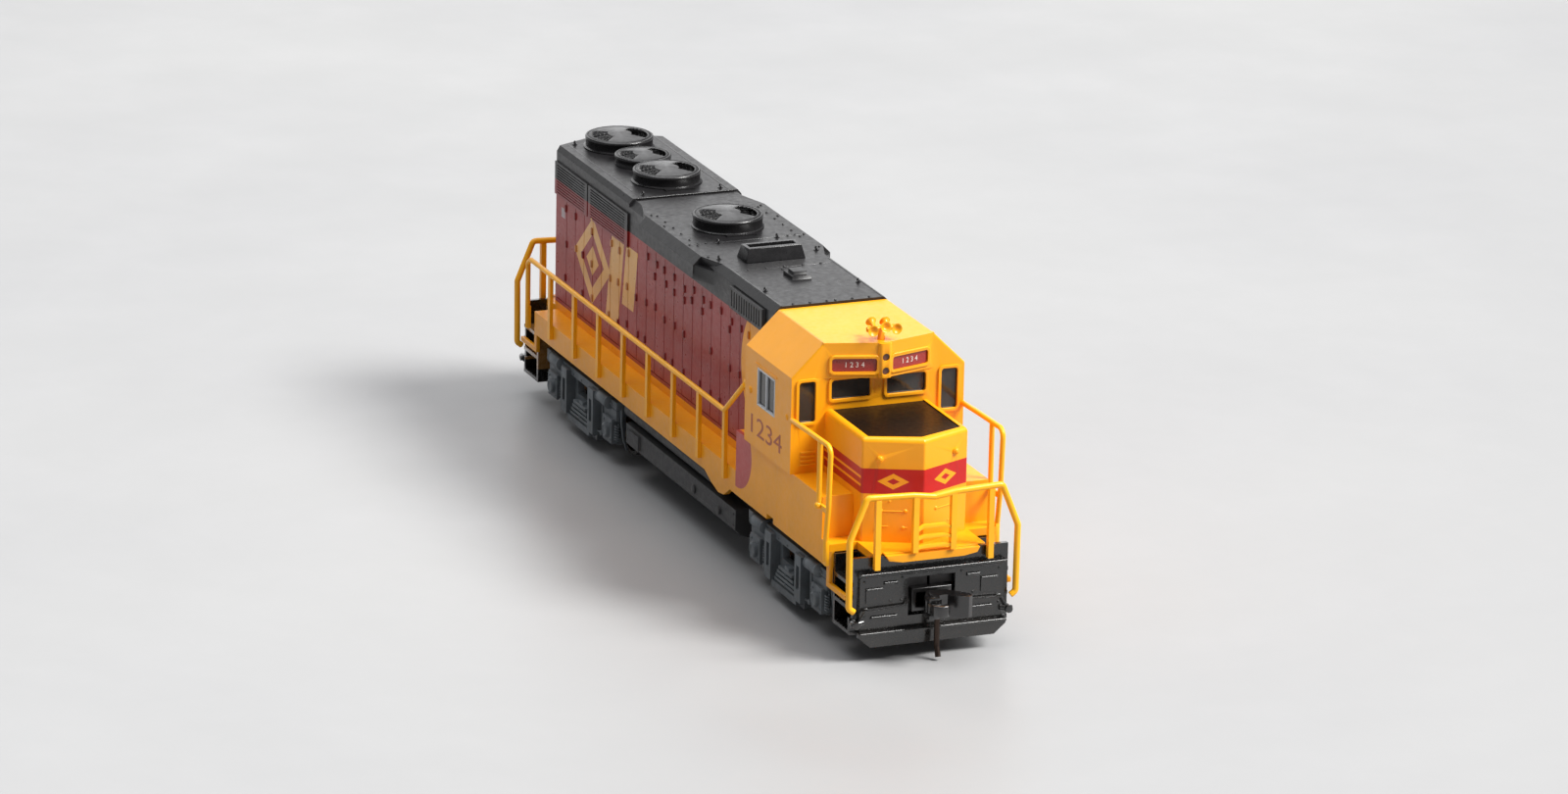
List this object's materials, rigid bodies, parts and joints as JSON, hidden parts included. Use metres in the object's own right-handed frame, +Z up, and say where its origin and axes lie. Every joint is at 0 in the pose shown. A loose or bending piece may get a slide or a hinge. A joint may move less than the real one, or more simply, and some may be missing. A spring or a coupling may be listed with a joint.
{
  "type": "model diesel locomotive",
  "caption": "Small-scale model of a four-axle diesel road switcher with a low nose, swivelling geared trucks, flywheel motor and knuckle couplers.",
  "frame": {"origin": "middle of the locomotive in plan, at the underside of the wheel flanges", "axes": "+X forward towards the low nose, +Y to the left-hand side, +Z up"},
  "size_m": [0.107, 0.0202, 0.0317],
  "materials": {
    "hood_paint": "satin maroon and black",
    "cab_paint": "satin yellow",
    "walkway_paint": "satin yellow",
    "handrail_plastic": "satin yellow",
    "pilot_plastic": "satin black",
    "tank_plastic": "matt dark grey",
    "roof_plastic": "matt black",
    "glazing": "clear",
    "lens": "clear",
    "board_paint": "painted red",
    "frame_metal": "as cast, darkened",
    "screw_steel": "bright",
    "motor_steel": "plated",
    "magnet": "ferrite",
    "carbon": "carbon",
    "lamination": "laminated steel",
    "copper": "copper",
    "flywheel_brass": "turned",
    "worm_brass": "cut",
    "bearing_bronze": "sintered",
    "board_green": "solder mask",
    "coupler_plastic": "matt black",
    "pin_steel": "blackened",
    "gearbox_plastic": "matt black",
    "pickup_bronze": "phosphor bronze",
    "truck_plastic": "matt grey",
    "gear_nylon": "nylon",
    "wheel_metal": "blackened nickel silver"
  },
  "bodies": {
    "chassis": {"hood_shell": "hood_paint", "cab_shell": "cab_paint", "short_hood": "cab_paint", "walkway": "walkway_paint", "horn": "cab_paint", "right_handrail": "handrail_plastic", "left_handrail": "handrail_plastic", "end_handrails": "handrail_plastic", "cab_handrails": "handrail_plastic", "front_pilot": "pilot_plastic", "rear_pilot": "pilot_plastic", "fuel_tank": "tank_plastic", "exhaust_stack": "roof_plastic", "radiator_fan_rear": "roof_plastic", "radiator_fan_middle": "roof_plastic", "radiator_fan_front": "roof_plastic", "brake_fan": "roof_plastic", "cab_glazing": "glazing", "headlight_lenses": "lens", "number_boards": "board_paint", "frame_right": "frame_metal", "frame_left": "frame_metal", "screws": "screw_steel", "motor_can": "motor_steel", "motor_magnets": "magnet", "motor_brushes": "carbon", "worm_bearings": "bearing_bronze", "circuit_board": "board_green", "coupler_boxes": "coupler_plastic"},
    "drive_line": {"armature": "lamination", "commutator": "copper", "motor_shaft": "screw_steel", "flywheels": "flywheel_brass", "worms": "worm_brass"},
    "front_truck": {"front_gearbox": "gearbox_plastic", "front_pickups": "pickup_bronze", "front_sideframes": "truck_plastic"},
    "front_drive_gear": {"front_worm_gear": "gear_nylon"},
    "front_outer_idler_gear": {"front_outer_idler": "gear_nylon"},
    "front_inner_idler_gear": {"front_inner_idler": "gear_nylon"},
    "front_outer_wheelset": {"front_outer_wheels": "wheel_metal", "front_outer_axle_gear": "gear_nylon"},
    "front_inner_wheelset": {"front_inner_wheels": "wheel_metal", "front_inner_axle_gear": "gear_nylon"},
    "front_coupler_head": {"front_coupler": "coupler_plastic", "front_trip_pin": "pin_steel"},
    "front_coupler_knuckle": {"front_knuckle": "coupler_plastic"},
    "rear_truck": {"rear_gearbox": "gearbox_plastic", "rear_pickups": "pickup_bronze", "rear_sideframes": "truck_plastic"},
    "rear_drive_gear": {"rear_worm_gear": "gear_nylon"},
    "rear_outer_idler_gear": {"rear_outer_idler": "gear_nylon"},
    "rear_inner_idler_gear": {"rear_inner_idler": "gear_nylon"},
    "rear_outer_wheelset": {"rear_outer_wheels": "wheel_metal", "rear_outer_axle_gear": "gear_nylon"},
    "rear_inner_wheelset": {"rear_inner_wheels": "wheel_metal", "rear_inner_axle_gear": "gear_nylon"},
    "rear_coupler_head": {"rear_coupler": "coupler_plastic", "rear_trip_pin": "pin_steel"},
    "rear_coupler_knuckle": {"rear_knuckle": "coupler_plastic"}
  },
  "joints": [
    {"name": "motor_spin", "type": "hinge", "parent": "chassis", "child": "drive_line", "pos_m": [0, 0, 0.0146], "axis": [1, 0, 0], "continuous": true},
    {"name": "front_truck_swivel", "type": "hinge", "parent": "chassis", "child": "front_truck", "pos_m": [0.0305, 0, 0.009], "axis": [0, 0, 1], "range_deg": [-8, 8]},
    {"name": "front_drive_gear_spin", "type": "hinge", "parent": "front_truck", "child": "front_drive_gear", "pos_m": [0.0305, 0, 0.00994], "axis": [0, 1, 0], "continuous": true},
    {"name": "front_outer_idler_gear_spin", "type": "hinge", "parent": "front_truck", "child": "front_outer_idler_gear", "pos_m": [0.0345, 0, 0.00567], "axis": [0, 1, 0], "continuous": true},
    {"name": "front_inner_idler_gear_spin", "type": "hinge", "parent": "front_truck", "child": "front_inner_idler_gear", "pos_m": [0.0265, 0, 0.00567], "axis": [0, 1, 0], "continuous": true},
    {"name": "front_outer_wheelset_spin", "type": "hinge", "parent": "front_truck", "child": "front_outer_wheelset", "pos_m": [0.03907, 0, 0.00378], "axis": [0, 1, 0], "continuous": true},
    {"name": "front_inner_wheelset_spin", "type": "hinge", "parent": "front_truck", "child": "front_inner_wheelset", "pos_m": [0.02193, 0, 0.00378], "axis": [0, 1, 0], "continuous": true},
    {"name": "front_coupler_swing", "type": "hinge", "parent": "chassis", "child": "front_coupler_head", "pos_m": [0.0456, 0, 0.0061], "axis": [0, 0, 1], "range_deg": [-12, 12], "stiffness_Nm_per_rad": 0.00002},
    {"name": "front_knuckle_open", "type": "hinge", "parent": "front_coupler_head", "child": "front_coupler_knuckle", "pos_m": [0.0517, -0.00105, 0.0061], "axis": [0, 0, -1], "range_deg": [0, 35], "stiffness_Nm_per_rad": 0.000005},
    {"name": "rear_truck_swivel", "type": "hinge", "parent": "chassis", "child": "rear_truck", "pos_m": [-0.0305, 0, 0.009], "axis": [0, 0, 1], "range_deg": [-8, 8]},
    {"name": "rear_drive_gear_spin", "type": "hinge", "parent": "rear_truck", "child": "rear_drive_gear", "pos_m": [-0.0305, 0, 0.00994], "axis": [0, 1, 0], "continuous": true},
    {"name": "rear_outer_idler_gear_spin", "type": "hinge", "parent": "rear_truck", "child": "rear_outer_idler_gear", "pos_m": [-0.0345, 0, 0.00567], "axis": [0, 1, 0], "continuous": true},
    {"name": "rear_inner_idler_gear_spin", "type": "hinge", "parent": "rear_truck", "child": "rear_inner_idler_gear", "pos_m": [-0.0265, 0, 0.00567], "axis": [0, 1, 0], "continuous": true},
    {"name": "rear_outer_wheelset_spin", "type": "hinge", "parent": "rear_truck", "child": "rear_outer_wheelset", "pos_m": [-0.03907, 0, 0.00378], "axis": [0, 1, 0], "continuous": true},
    {"name": "rear_inner_wheelset_spin", "type": "hinge", "parent": "rear_truck", "child": "rear_inner_wheelset", "pos_m": [-0.02193, 0, 0.00378], "axis": [0, 1, 0], "continuous": true},
    {"name": "rear_coupler_swing", "type": "hinge", "parent": "chassis", "child": "rear_coupler_head", "pos_m": [-0.0456, 0, 0.0061], "axis": [0, 0, 1], "range_deg": [-12, 12], "stiffness_Nm_per_rad": 0.00002},
    {"name": "rear_knuckle_open", "type": "hinge", "parent": "rear_coupler_head", "child": "rear_coupler_knuckle", "pos_m": [-0.0517, 0.00105, 0.0061], "axis": [0, 0, -1], "range_deg": [0, 35], "stiffness_Nm_per_rad": 0.000005}
  ],
  "couplings": [
    {"joint": "front_drive_gear_spin", "follows": "motor_spin", "ratio": -0.05},
    {"joint": "front_outer_idler_gear_spin", "follows": "motor_spin", "ratio": 0.052632},
    {"joint": "front_inner_idler_gear_spin", "follows": "motor_spin", "ratio": 0.052632},
    {"joint": "front_outer_wheelset_spin", "follows": "motor_spin", "ratio": -0.071429},
    {"joint": "front_inner_wheelset_spin", "follows": "motor_spin", "ratio": -0.071429},
    {"joint": "rear_drive_gear_spin", "follows": "motor_spin", "ratio": -0.05},
    {"joint": "rear_outer_idler_gear_spin", "follows": "motor_spin", "ratio": 0.052632},
    {"joint": "rear_inner_idler_gear_spin", "follows": "motor_spin", "ratio": 0.052632},
    {"joint": "rear_outer_wheelset_spin", "follows": "motor_spin", "ratio": -0.071429},
    {"joint": "rear_inner_wheelset_spin", "follows": "motor_spin", "ratio": -0.071429}
  ]
}
